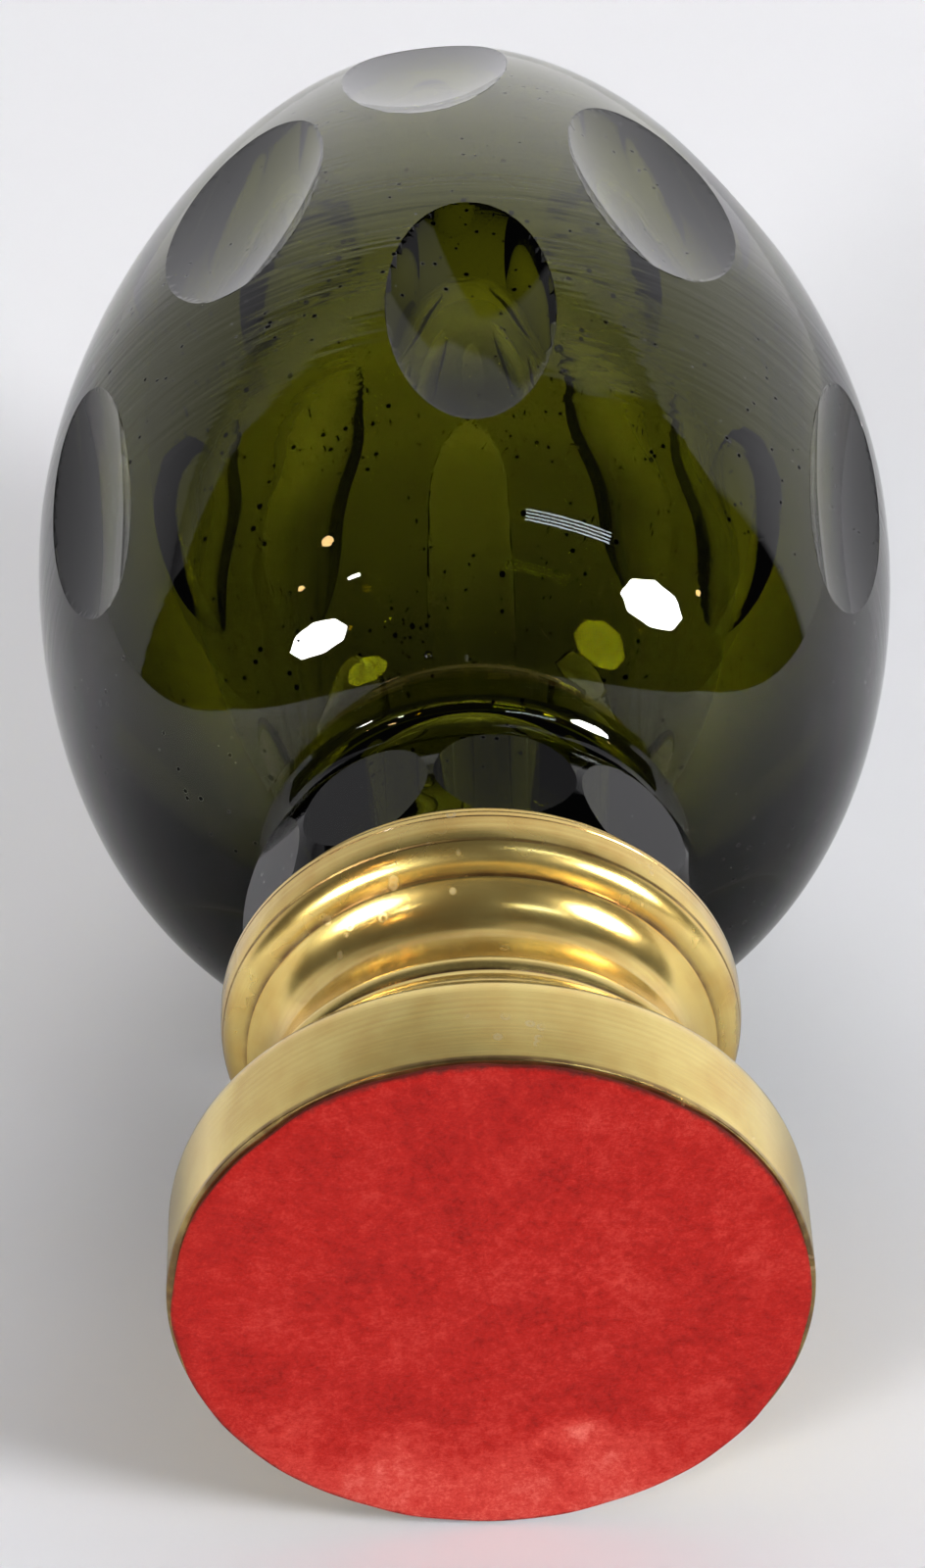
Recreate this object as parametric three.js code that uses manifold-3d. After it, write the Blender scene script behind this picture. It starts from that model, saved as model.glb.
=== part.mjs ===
// Cut-glass pine cone ornament: a hollow blown cone of dark green glass, ground all over
// with oval cuts, bedded in a turned brass mount that stands on a felt foot.
// Millimetres, +Z up, origin at the centre of the felt's underside.
import * as THREE from 'three';
import { mergeVertices } from 'three/addons/utils/BufferGeometryUtils.js';
import Module from 'manifold-3d';

const wasm = await Module();
wasm.setup();

// Clearances
const seatGap = 0.3; // between two pieces where a curved or ground face meets its seat
const boltClear = 0.4; // round the bolt in each hole

// Felt and the board behind it
const feltThickness = 0.9;
const feltInset = 0.3; // the felt stops just short of the drum's wall
const boardThickness = 3;
const discEdge = 0.2; // edges of felt and board

// Drum
const footRadius = 31;
const drumWallHeight = 12.6;
const drumEdge = 3.2; // rounding of the drum's upper edge
const drumRim = 3; // brass left round the recess for the board
const drumWall = 5.5;
const drumPlate = 3.2; // thickness of the drum's top
const stepLedge = 5.3; // how far the rolled step stands in from the wall
const stepHeight = 6.3;
const stepRise = 1.1; // slope from the drum's edge up to the foot of the rolled step
const stepRoll = 0.9; // swell of the rolled step
const stepFillet = 2.1; // height of the light strip above the rolled step
const stepWall = 5.2;
const topPlate = 3.4; // the plate that the nut pulls on
const locatingRing = 1.5; // stands up from the drum into the hollow stem
const sharpEdge = 0.3; // edges broken by a turner's file

// Stem
const stemInset = 2.1; // from the rolled step to the foot of the stem
const stemHeight = 13.7;
const stemBead = 2.9; // height of the bead at the foot of the stem
const beadSwell = 0.5;
const beadStep = 0.7; // from the bead in to the foot of the cove
const coveDepth = 2.6;
const waistShare = 0.62; // height of the narrowest place, as a share of the stem
const stemNeck = 0.6; // the plain band under the cup
const stemWall = 5.4;
const stemWeb = 4;
const hollowBevel = 2; // at the blind ends of the hollows in stem and glass

// Glass neck and the cup round it
const spigotRadius = 20.4;
const spigotLength = 4.2;
const plasterWidth = 2.2; // between spigot and cup
const cupFloor = 2.7;
const cupDepth = 6.2;
const cupWall = 3.8;
const cupOverhang = 2.7; // beyond the head of the stem
const cupBand = 2.7; // height of the plain band round the cup
const lipHeight = 1.9; // the lip above the band
const lipWidth = 2.3;

// Glass
const boreRadius = 12; // the opening left by the blowing iron
const neckSwell = 1.85; // how far the faceted collar swells past its foot
const neckHeight = 12.4;
const neckTaper = 0.6; // how far it draws in again at its top
const facetCount = 10;
const facetTurn = 8.1; // degrees from the front to the first facet
const facetLean = 5; // degrees that the facets lean out towards the top
const ringWidth = 10; // of the ring that grinds them
const channelHeight = 7.7;
const channelDepth = 1.7;
const creaseStep = 0.3; // the body starts just outside the foot of the neck
const bodyRadius = 48.2;
const bellyHeight = 53.4; // from the crease above the channel to the widest place
const crownHeight = 90.7; // from the widest place to the tip
const wallThickness = 16.2;
const tipThickness = 13;
const floorThickness = 12.7; // from the crease up to the floor of the hollow

// Oval cuts: rows from the bottom up. at and length are shares of the body's height, width a
// share of the pitch between two cuts. They are ground by eye, so the turns, in degrees from
// the front towards +X, are not quite even.
const wheelEdge = 23; // radius across the rim of the grinding wheel
const wheelBack = 4; // what stays of the wheel behind its rim, clear of the glass
const wheelRunOut = 0.12; // the wheel starts and stops clear of the glass, as a share of its stroke
const cutRows = [
  { at: 0.257, length: 0.228, width: 0.374, turns: [2, 65, 124, 182, 241, 299] },
  { at: 0.473, length: 0.291, width: 0.42, turns: [29, 90, 150, 210, 270, 330] },
  { at: 0.702, length: 0.326, width: 0.5, turns: [-4, 57, 117, 177, 237, 297] },
];

// Fasteners
const boltRadius = 4;
const boltHead = 5.3;
const hexRatio = 1.625; // across flats over diameter
const nutHeight = 6.5;
const washerThickness = 1.6;
const washerRadius = 9;
const boltTail = 3; // thread left past the nut
const boltPoint = 0.8; // bevel at the end of the thread
const hexCornerDrop = 1.1; // bevel of the hexagon's corners
const plugTop = 4; // plaster over the bolt's head

// Heights of the joints between the pieces
const drumBase = feltThickness;
const stepBase = drumBase + drumWallHeight;
const drumTop = stepBase + stepHeight + stepFillet;
const stemTop = drumTop + stemHeight;
const cupFloorTop = stemTop + cupFloor;
const lipTop = cupFloorTop + cupDepth;
const shoulder = lipTop + seatGap;
const neckTop = shoulder + neckHeight;
const crease = neckTop + channelHeight;
const belly = crease + bellyHeight;
const tip = belly + crownHeight;
const bodyHeight = tip - crease;

// Radii that follow from the pieces they fit
const stepRadius = footRadius - stepLedge;
const stemFootRadius = stepRadius - stemInset;
const cupInner = spigotRadius + plasterWidth;
const cupRadius = cupInner + cupWall;
const stemHeadRadius = cupRadius - cupOverhang;
const waistRadius = Math.min(stemFootRadius, stemHeadRadius) - coveDepth;
const stemHollow = waistRadius - stemWall;
const holeRadius = boltRadius + boltClear;
const lipRadius = cupInner + lipWidth;
const neckFootRadius = cupInner;
const neckRadius = neckFootRadius + neckSwell;
const neckTopRadius = neckRadius - neckTaper;
const channelRadius = neckFootRadius - channelDepth;
const creaseRadius = neckFootRadius + creaseStep;

// Making solids

// Shares each corner between its faces and drops the slivers that a revolve leaves on its axis.
function welded(geometry) {
  geometry.deleteAttribute('normal');
  geometry.deleteAttribute('uv');
  const merged = mergeVertices(geometry, 1e-4);
  const corners = merged.index.array;
  const kept = [];
  for (let i = 0; i < corners.length; i += 3) {
    const [a, b, c] = corners.slice(i, i + 3);
    if (a !== b && b !== c && c !== a) kept.push(a, b, c);
  }
  merged.setIndex(kept);
  return merged;
}

// Spins an outline of (radius, height) points about Z. A solid outline runs anticlockwise.
function turned(points, sides) {
  const geometry = new THREE.LatheGeometry(points, sides);
  geometry.rotateX(Math.PI / 2);
  return welded(geometry);
}

function toSolid(geometry) {
  const vertProperties = new Float32Array(geometry.attributes.position.array);
  const triVerts = new Uint32Array(geometry.index.array);
  return new wasm.Manifold(new wasm.Mesh({ numProp: 3, vertProperties, triVerts }));
}

function toGeometry(solid) {
  const mesh = solid.getMesh();
  const geometry = new THREE.BufferGeometry();
  geometry.setAttribute('position', new THREE.BufferAttribute(mesh.vertProperties, 3));
  geometry.setIndex(new THREE.BufferAttribute(mesh.triVerts, 1));
  geometry.computeVertexNormals();
  return geometry;
}

// The glass

const bodyLower = new THREE.CubicBezierCurve(
  new THREE.Vector2(creaseRadius, crease),
  new THREE.Vector2(0.91 * bodyRadius, crease + 0.08 * bellyHeight),
  new THREE.Vector2(bodyRadius, crease + 0.7 * bellyHeight),
  new THREE.Vector2(bodyRadius, belly),
);
const bodyUpper = new THREE.CubicBezierCurve(
  new THREE.Vector2(bodyRadius, belly),
  new THREE.Vector2(bodyRadius, belly + 0.31 * crownHeight),
  new THREE.Vector2(0.55 * bodyRadius, belly + 0.973 * crownHeight),
  new THREE.Vector2(0, tip),
);

// The hollow, from its top down to the end of the bore.
function hollowOutline() {
  const radius = bodyRadius - wallThickness;
  const top = tip - tipThickness;
  const floor = crease + floorThickness;
  const outline = new THREE.Path();
  outline.moveTo(0, top);
  outline.bezierCurveTo(
    0.58 * radius, top - 0.02 * crownHeight,
    radius, belly + 0.31 * crownHeight,
    radius, belly,
  );
  outline.bezierCurveTo(
    radius, crease + 0.51 * bellyHeight,
    0.72 * radius, floor,
    boreRadius + hollowBevel, floor,
  );
  outline.lineTo(boreRadius, floor - hollowBevel);
  outline.lineTo(boreRadius, shoulder - spigotLength);
  return outline;
}

// The spigot, the swelling collar and the channel above it.
function neckOutline() {
  const swellHeight = shoulder + 0.62 * neckHeight;
  const channelFoot = neckTop + 0.32 * channelHeight;
  const outline = new THREE.Path();
  outline.moveTo(spigotRadius, shoulder - spigotLength);
  outline.lineTo(spigotRadius, shoulder);
  outline.lineTo(neckFootRadius, shoulder);
  outline.bezierCurveTo(
    neckFootRadius + 0.4, shoulder + 0.18 * neckHeight,
    neckRadius, shoulder + 0.34 * neckHeight,
    neckRadius, swellHeight,
  );
  outline.quadraticCurveTo(neckRadius, shoulder + 0.84 * neckHeight, neckTopRadius, neckTop);
  outline.quadraticCurveTo(
    neckTopRadius - 0.6, neckTop + 0.22 * channelHeight,
    channelRadius + 0.3, channelFoot,
  );
  outline.bezierCurveTo(
    channelRadius - 0.1, neckTop + 0.45 * channelHeight,
    channelRadius, crease - 0.13 * channelHeight,
    creaseRadius, crease,
  );
  return outline;
}

// Joins outlines end to end, without a point that two of them share.
function joinedOutlines(...runs) {
  const points = [];
  runs.flat().forEach((point) => {
    const last = points.at(-1);
    if (!last || last.distanceTo(point) > 1e-6) points.push(point);
  });
  return points;
}

function blownGlass() {
  const outline = joinedOutlines(
    hollowOutline().getPoints(4),
    neckOutline().getPoints(3),
    bodyLower.getPoints(11),
    bodyUpper.getPoints(13),
  );
  return toSolid(turned(outline, 56));
}

// The body's outline at a height: its point, and the radius there.
function outlineAt(height) {
  const curve = height < belly ? bodyLower : bodyUpper;
  let low = 0;
  let high = 1;
  for (let i = 0; i < 40; i += 1) {
    const middle = (low + high) / 2;
    if (curve.getPoint(middle).y < height) low = middle;
    else high = middle;
  }
  return curve.getPoint(low);
}

// The path of a wheel through one cut: in at the lower end, deepest half way, out at the top.
class WheelStroke extends THREE.Curve {
  constructor(start, deepest, end) {
    super();
    this.start = start;
    this.end = end;
    this.bend = deepest.clone().multiplyScalar(2).addScaledVector(start, -0.5).addScaledVector(end, -0.5);
  }

  getPoint(share, target = new THREE.Vector3()) {
    const t = share * (1 + 2 * wheelRunOut) - wheelRunOut;
    const r = (1 - t) ** 2 * this.start.x + 2 * t * (1 - t) * this.bend.x + t * t * this.end.x;
    const z = (1 - t) ** 2 * this.start.y + 2 * t * (1 - t) * this.bend.y + t * t * this.end.y;
    return target.set(r, 0, z);
  }
}

// The rounded rim of the grinding wheel, swept along its stroke in the plane of the axis.
function wheelSweep(row) {
  const middle = outlineAt(crease + row.at * bodyHeight);
  const start = outlineAt(crease + (row.at - row.length / 2) * bodyHeight);
  const end = outlineAt(crease + (row.at + row.length / 2) * bodyHeight);
  const halfWidth = (row.width * Math.PI * middle.x) / row.turns.length;
  const depth = (halfWidth ** 2 / 2) * (1 / middle.x + 1 / wheelEdge);
  const along = end.clone().sub(start).normalize();
  const deepest = middle.clone().add(new THREE.Vector2(-along.y, along.x).multiplyScalar(depth));
  const rim = new THREE.Shape();
  const reach = Math.asin(Math.min(0.9, (1.35 * halfWidth) / wheelEdge));
  rim.absarc(0, wheelEdge, wheelEdge, -Math.PI / 2 - reach, -Math.PI / 2 + reach, false);
  rim.lineTo(wheelEdge * Math.sin(reach), 2 * wheelEdge * (1 - Math.cos(reach)) + wheelBack);
  rim.lineTo(-wheelEdge * Math.sin(reach), 2 * wheelEdge * (1 - Math.cos(reach)) + wheelBack);
  rim.closePath();
  const sweep = new THREE.ExtrudeGeometry(rim, {
    steps: 7,
    curveSegments: 5,
    bevelEnabled: false,
    extrudePath: new WheelStroke(start, deepest, end),
  });
  return welded(sweep);
}

// Degrees from the front (-Y) towards +X, as a turn of a cutter that starts on +X.
function fromFront(degrees) {
  return degrees - 90;
}

// A ring whose hole has flat sides that lean out towards the top. Grinding with it leaves the
// facets, as ovals, where the collar swells past the flats.
function facetRing() {
  const base = shoulder - 0.1 * neckHeight;
  const top = neckTop + 0.6 * channelHeight;
  const lean = Math.tan(THREE.MathUtils.degToRad(facetLean));
  const toCorner = 1 / Math.cos(Math.PI / facetCount);
  const flatAt = (height) => neckRadius / toCorner + lean * (height - shoulder - neckHeight / 2);
  const outside = neckRadius + ringWidth;
  const ring = turned([
    new THREE.Vector2(flatAt(base) * toCorner, base),
    new THREE.Vector2(outside, base),
    new THREE.Vector2(outside, top),
    new THREE.Vector2(flatAt(top) * toCorner, top),
    new THREE.Vector2(flatAt(base) * toCorner, base),
  ], facetCount);
  return toSolid(ring).rotate([0, 0, facetTurn + 180 / facetCount]);
}

function cutGlass() {
  let glass = blownGlass();
  cutRows.forEach((row) => {
    const wheel = toSolid(wheelSweep(row));
    row.turns.forEach((turn) => {
      glass = glass.subtract(wheel.rotate([0, 0, fromFront(turn)]));
    });
  });
  return toGeometry(glass.subtract(facetRing()));
}

// The brass

function drumOutline() {
  const outline = new THREE.Path();
  const recess = footRadius - drumRim;
  const boardTop = drumBase + boardThickness;
  const lowerHollow = footRadius - drumWall;
  const lowerHollowTop = stepBase - drumPlate;
  const upperHollow = stepRadius - stepWall;
  const stepTop = stepBase + stepHeight;
  outline.moveTo(recess, drumBase);
  outline.lineTo(footRadius - sharpEdge, drumBase);
  outline.lineTo(footRadius, drumBase + sharpEdge);
  outline.lineTo(footRadius, stepBase - drumEdge);
  outline.quadraticCurveTo(footRadius, stepBase, footRadius - drumEdge, stepBase);
  outline.lineTo(stepRadius - stepRoll, stepBase + stepRise);
  outline.quadraticCurveTo(
    stepRadius + stepRoll, stepBase + 0.55 * stepHeight,
    stepRadius - stepRoll, stepTop,
  );
  outline.lineTo(stemFootRadius + 2 * sharpEdge, stepTop + sharpEdge);
  outline.lineTo(stemFootRadius, stepTop + 3 * sharpEdge);
  outline.lineTo(stemFootRadius, drumTop - sharpEdge);
  outline.lineTo(stemFootRadius - sharpEdge, drumTop);
  outline.lineTo(stemHollow - seatGap, drumTop);
  outline.lineTo(stemHollow - seatGap, drumTop + locatingRing);
  outline.lineTo(holeRadius, drumTop + locatingRing);
  outline.lineTo(holeRadius, drumTop - topPlate);
  outline.lineTo(upperHollow, drumTop - topPlate);
  outline.lineTo(upperHollow, lowerHollowTop);
  outline.lineTo(lowerHollow, lowerHollowTop);
  outline.lineTo(lowerHollow, boardTop);
  outline.lineTo(recess, boardTop);
  outline.lineTo(recess, drumBase);
  return outline.getPoints(3);
}

function stemOutline() {
  const outline = new THREE.Path();
  const beadTop = drumTop + stemBead;
  const waist = drumTop + waistShare * stemHeight;
  outline.moveTo(stemHollow, drumTop);
  outline.lineTo(stemFootRadius - beadSwell, drumTop);
  outline.quadraticCurveTo(
    stemFootRadius + beadSwell, drumTop + 0.5 * stemBead,
    stemFootRadius - beadStep, beadTop - sharpEdge,
  );
  outline.lineTo(stemFootRadius - beadStep - beadSwell, beadTop);
  outline.quadraticCurveTo(waistRadius, drumTop + 0.4 * stemHeight, waistRadius, waist);
  outline.quadraticCurveTo(
    waistRadius + sharpEdge, drumTop + 0.86 * stemHeight,
    stemHeadRadius, stemTop - stemNeck,
  );
  outline.lineTo(stemHeadRadius, stemTop - 0.5 * sharpEdge);
  outline.lineTo(stemHeadRadius - sharpEdge, stemTop);
  outline.lineTo(holeRadius, stemTop);
  outline.lineTo(holeRadius, stemTop - stemWeb);
  outline.lineTo(stemHollow, stemTop - stemWeb - hollowBevel);
  outline.lineTo(stemHollow, drumTop);
  return outline.getPoints(4);
}

function cupOutline() {
  const outline = new THREE.Path();
  const lipBase = lipTop - lipHeight;
  outline.moveTo(holeRadius, stemTop);
  outline.lineTo(stemHeadRadius - sharpEdge, stemTop);
  outline.lineTo(stemHeadRadius + sharpEdge, stemTop + sharpEdge);
  outline.quadraticCurveTo(cupRadius, stemTop + 3 * sharpEdge, cupRadius, lipBase - cupBand);
  outline.lineTo(cupRadius - 0.5 * sharpEdge, lipBase - 2 * sharpEdge);
  outline.lineTo(cupRadius - 3 * sharpEdge, lipBase);
  outline.lineTo(lipRadius - sharpEdge, lipBase);
  outline.lineTo(lipRadius - sharpEdge, lipBase + sharpEdge);
  outline.lineTo(lipRadius, lipBase + 2 * sharpEdge);
  outline.lineTo(lipRadius, lipTop - sharpEdge);
  outline.lineTo(lipRadius - sharpEdge, lipTop);
  outline.lineTo(cupInner, lipTop);
  outline.lineTo(cupInner, cupFloorTop);
  outline.lineTo(holeRadius, cupFloorTop);
  outline.lineTo(holeRadius, stemTop);
  return outline.getPoints(4);
}

// Plaster, fasteners, board and felt

const headPocket = (hexRatio * boltRadius * 2) / Math.sqrt(3) + boltClear;

// Ring round the spigot and plug up its bore in one pour, with the bolt's head set in it.
function plasterOutline() {
  const outline = new THREE.Path();
  const spigotEnd = shoulder - spigotLength;
  const plugRadius = boreRadius - seatGap;
  const pocketTop = cupFloorTop + boltHead + seatGap;
  outline.moveTo(0, pocketTop);
  outline.lineTo(headPocket, pocketTop);
  outline.lineTo(headPocket, cupFloorTop);
  outline.lineTo(cupInner - seatGap, cupFloorTop);
  outline.lineTo(cupInner - seatGap, lipTop);
  outline.lineTo(spigotRadius + seatGap, lipTop);
  outline.lineTo(spigotRadius + seatGap, spigotEnd - seatGap);
  outline.lineTo(plugRadius, spigotEnd - seatGap);
  outline.lineTo(plugRadius, pocketTop + plugTop);
  outline.lineTo(0, pocketTop + plugTop);
  return outline.getPoints();
}

// A hexagon with its corners rounded off by a cone at the upper end.
function hexagon(height) {
  const corner = (hexRatio * boltRadius * 2) / Math.sqrt(3);
  const prism = new THREE.CylinderGeometry(corner, corner, height, 6);
  prism.rotateX(Math.PI / 2);
  prism.translate(0, 0, height / 2);
  const bevel = new THREE.Path();
  bevel.moveTo(0, -1);
  bevel.lineTo(corner + 1, -1);
  bevel.lineTo(corner + 1, height - 2 * hexCornerDrop);
  bevel.lineTo(corner - hexCornerDrop, height);
  bevel.lineTo(0, height);
  return toSolid(welded(prism)).intersect(toSolid(turned(bevel.getPoints(), 24)));
}

function boltGeometry() {
  const tail = drumTop - topPlate - washerThickness - nutHeight - boltTail;
  const shank = new THREE.Path();
  shank.moveTo(0, tail);
  shank.lineTo(boltRadius - boltPoint, tail);
  shank.lineTo(boltRadius, tail + boltPoint);
  shank.lineTo(boltRadius, cupFloorTop + 1);
  shank.lineTo(0, cupFloorTop + 1);
  const head = hexagon(boltHead).translate([0, 0, cupFloorTop]);
  return toGeometry(head.add(toSolid(turned(shank.getPoints(), 24))));
}

function nutGeometry() {
  const bore = new THREE.CylinderGeometry(boltRadius + seatGap, boltRadius + seatGap, nutHeight + 2, 24);
  bore.rotateX(Math.PI / 2);
  bore.translate(0, 0, nutHeight / 2);
  return toGeometry(hexagon(nutHeight).subtract(toSolid(welded(bore))));
}

function washerOutline() {
  const outline = new THREE.Path();
  outline.moveTo(holeRadius, 0);
  outline.lineTo(washerRadius, 0);
  outline.lineTo(washerRadius, washerThickness);
  outline.lineTo(holeRadius, washerThickness);
  outline.lineTo(holeRadius, 0);
  return outline.getPoints();
}

function discOutline(radius, thickness, edge) {
  const outline = new THREE.Path();
  outline.moveTo(0, 0);
  outline.lineTo(radius - edge, 0);
  outline.lineTo(radius, edge);
  outline.lineTo(radius, thickness);
  outline.lineTo(0, thickness);
  return outline.getPoints();
}

// Materials

const greenGlass = new THREE.MeshStandardMaterial({ color: 0x24321a, roughness: 0.04, metalness: 0 });
const brass = new THREE.MeshStandardMaterial({ color: 0xcaa75a, roughness: 0.22, metalness: 1 });
const steel = new THREE.MeshStandardMaterial({ color: 0x9a9c9e, roughness: 0.35, metalness: 1 });
const plaster = new THREE.MeshStandardMaterial({ color: 0xded8cb, roughness: 0.9, metalness: 0 });
const board = new THREE.MeshStandardMaterial({ color: 0x9c8465, roughness: 0.85, metalness: 0 });
const felt = new THREE.MeshStandardMaterial({ color: 0xb62a30, roughness: 1, metalness: 0 });

// Assembly, from the table up

const ornament = new THREE.Group();
const mount = new THREE.Group();
const fastening = new THREE.Group();
ornament.add(mount, fastening);

function place(name, geometry, material, height, parent) {
  const mesh = new THREE.Mesh(geometry, material);
  mesh.name = name;
  mesh.position.z = height;
  parent.add(mesh);
}

const feltDisc = turned(discOutline(footRadius - feltInset, feltThickness, discEdge), 36);
const boardDisc = turned(discOutline(footRadius - drumRim - seatGap, boardThickness, discEdge), 32);
place('felt_pad', feltDisc, felt, 0, mount);
place('base_disc', boardDisc, board, drumBase, mount);
place('foot_drum', turned(drumOutline(), 36), brass, 0, mount);
place('cove_stem', turned(stemOutline(), 36), brass, 0, mount);
place('collar_cup', turned(cupOutline(), 36), brass, 0, mount);

const washerBase = drumTop - topPlate - washerThickness;
place('tie_bolt', boltGeometry(), steel, 0, fastening);
place('washer', turned(washerOutline(), 24), steel, washerBase, fastening);
place('hex_nut', nutGeometry(), steel, washerBase - nutHeight, fastening);

place('plaster_bed', turned(plasterOutline(), 32), plaster, 0, ornament);
place('glass_body', cutGlass(), greenGlass, 0, ornament);

export default ornament;
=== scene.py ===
# %% [markdown]
# # A cut-glass pine cone on a brass foot
# The object is a hollow cone of dark green glass, ground with rows of ovals, bedded in a
# turned brass mount that stands on a drum with red felt under it. The construction is
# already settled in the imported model. This script makes its looks, piece by piece, in the
# same frame: metres, +Z along the turning axis, and the felt's underside at zero.

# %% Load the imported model
import math

import bmesh
import bpy
import numpy as np
from mathutils import Matrix, Vector
from mathutils.bvhtree import BVHTree


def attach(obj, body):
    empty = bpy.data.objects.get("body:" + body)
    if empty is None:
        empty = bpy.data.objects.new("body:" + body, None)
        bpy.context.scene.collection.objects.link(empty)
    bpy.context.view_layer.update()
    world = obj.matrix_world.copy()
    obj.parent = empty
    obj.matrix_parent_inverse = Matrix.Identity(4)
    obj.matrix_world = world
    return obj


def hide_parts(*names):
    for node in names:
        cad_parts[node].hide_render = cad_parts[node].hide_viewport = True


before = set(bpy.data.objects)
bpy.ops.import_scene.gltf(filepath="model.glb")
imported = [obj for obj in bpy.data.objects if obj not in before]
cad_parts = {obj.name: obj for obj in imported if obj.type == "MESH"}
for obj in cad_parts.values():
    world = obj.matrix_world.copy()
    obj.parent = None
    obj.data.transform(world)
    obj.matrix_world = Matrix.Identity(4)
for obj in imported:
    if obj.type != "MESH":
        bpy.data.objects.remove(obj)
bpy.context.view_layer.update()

# %% [markdown]
# Every turned piece starts as an outline of radius and height, in millimetres, as a turner
# would draw it on card. Straight runs, bends with one handle and curves with two handles
# are enough for all of them. Each helper returns the points after its first, so that the
# pieces of an outline can be added end to end.

# %% Outline helpers
MM = 0.001


def bend(start, handle, end, steps=12):
    t = np.linspace(0, 1, steps + 1)[1:, None]
    start, handle, end = (np.array(p, float) for p in (start, handle, end))
    return list(map(tuple, (1 - t) ** 2 * start + 2 * t * (1 - t) * handle + t**2 * end))


def curve(start, first, second, end, steps=40):
    t = np.linspace(0, 1, steps + 1)[1:, None]
    a, b, c, d = (np.array(p, float) for p in (start, first, second, end))
    points = (1 - t) ** 3 * a + 3 * t * (1 - t) ** 2 * b + 3 * t**2 * (1 - t) * c + t**3 * d
    return list(map(tuple, points))


print("a bend is drawn with", len(bend((0, 1), (1, 1), (1, 0))), "points if nothing else is said")

# %% [markdown]
# Two things are needed for every piece: a mesh made from corners and faces that were worked
# out, and smooth shading that keeps real edges. Edges that turn sharply are marked, which
# costs no faces, where a bevel on each would cost many.

# %% Pieces and sharp edges
def as_piece(name, corners, faces):
    mesh = bpy.data.meshes.new(name)
    mesh.from_pydata([tuple(c) for c in corners], [], faces)
    mesh.validate()
    piece = bpy.data.objects.new(name, mesh)
    bpy.context.scene.collection.objects.link(piece)
    return piece


def crisp(piece, degrees):
    """Smooth shading everywhere, apart from edges that turn by more than this."""
    work = bmesh.new()
    work.from_mesh(piece.data)
    for face in work.faces:
        face.smooth = True
    for edge in work.edges:
        edge.smooth = edge.calc_face_angle(0) < math.radians(degrees)
    work.to_mesh(piece.data)
    work.free()


# %% [markdown]
# A lathe gives a surface of revolution, and Blender's Spin or Screw could do it too. Here
# the rings are written out as vertices, because that leaves a closed mesh with one point
# on each pole, ready for exact cutting, and it lets the inside of the glass be rippled
# ring by ring.

# %% Lathe
def turn(name, outline, sides, ripple=None):
    """A closed solid: the outline runs anticlockwise, from axis to axis or back to its start."""
    outline = [tuple(p) for p in outline]
    looped = np.allclose(outline[0], outline[-1])
    if looped:
        outline = outline[:-1]
    angles = np.arange(sides) * 2 * math.pi / sides
    corners, rings = [], []
    for radius, height in outline:
        if radius < 1e-6:
            rings.append([len(corners)] * sides)
            corners.append((0, 0, height * MM))
            continue
        radii = np.full(sides, float(radius))
        if ripple is not None:
            radii = radii + ripple(radius, height, angles)
        rings.append(list(range(len(corners), len(corners) + sides)))
        corners += [
            (r * MM * math.cos(a), r * MM * math.sin(a), height * MM) for r, a in zip(radii, angles)
        ]
    faces = []
    pairs = list(zip(rings, rings[1:])) + ([(rings[-1], rings[0])] if looped else [])
    for below, above in pairs:
        for k in range(sides):
            n = (k + 1) % sides
            face = [below[k], below[n], above[n], above[k]]
            faces.append(list(dict.fromkeys(face)))
    return as_piece(name, corners, faces)


# %% [markdown]
# The glass takes its outline from the photograph: a faceted collar just above the brass,
# a narrow polished channel, and the egg-shaped body. The wall is about 16 mm thick, which
# was worked out from the green second reflections beside the white ones: they come from
# the inner surface. The hollow opens downwards through the neck.

# %% Sizes of the glass, in millimetres
SHOULDER, NECK_TOP, CREASE, BELLY, TIP = 44.8, 57.2, 64.9, 118.3, 209.0
BODY = 48.2
HOLLOW_FLOOR, HOLLOW_TOP, HOLLOW = 77.6, 196.0, 32.0
BORE, SPIGOT, NECK_FOOT, NECK_SWELL = 12.0, 20.4, 22.6, 24.45

lower_body = ((22.9, CREASE), (43.9, 69.2), (BODY, 102.3), (BODY, BELLY))
upper_body = ((BODY, BELLY), (BODY, 146.4), (26.5, 206.55), (0.0, TIP))

inside = [(0.0, HOLLOW_TOP)]
inside += curve(inside[-1], (18.6, 194.2), (HOLLOW, 146.4), (HOLLOW, BELLY), 60)
inside += curve(inside[-1], (HOLLOW, 92.1), (23.0, HOLLOW_FLOOR), (BORE + 2, HOLLOW_FLOOR), 40)
inside += bend(inside[-1], (BORE, HOLLOW_FLOOR), (BORE, HOLLOW_FLOOR - 2), 6)
foot_of_glass = [(BORE, 40.6), (SPIGOT, 40.6), (SPIGOT, SHOULDER), (NECK_FOOT, SHOULDER)]
outside = curve(foot_of_glass[-1], (23.0, 47.0), (NECK_SWELL, 49.0), (NECK_SWELL, 52.5), 14)
outside += bend(outside[-1], (NECK_SWELL, 55.2), (23.85, NECK_TOP), 8)
outside += bend(outside[-1], (23.25, 58.9), (21.2, 59.66), 10)
outside += curve(outside[-1], (20.8, 60.7), (20.9, 63.9), (22.9, CREASE), 14)
outside += curve(*lower_body, 64)
outside += curve(*upper_body, 96)
print("glass outline:", len(inside + foot_of_glass + outside), "points")

# %% [markdown]
# The glass was blown, so its inner wall is never true: long soft swells run round it, and
# the tools leave fine rings. The ripple is added to the radius of each inner ring, and
# fades out towards the top, where the rings shrink to a point.

# %% Blow the glass
GLASS_SIDES = 216


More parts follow.
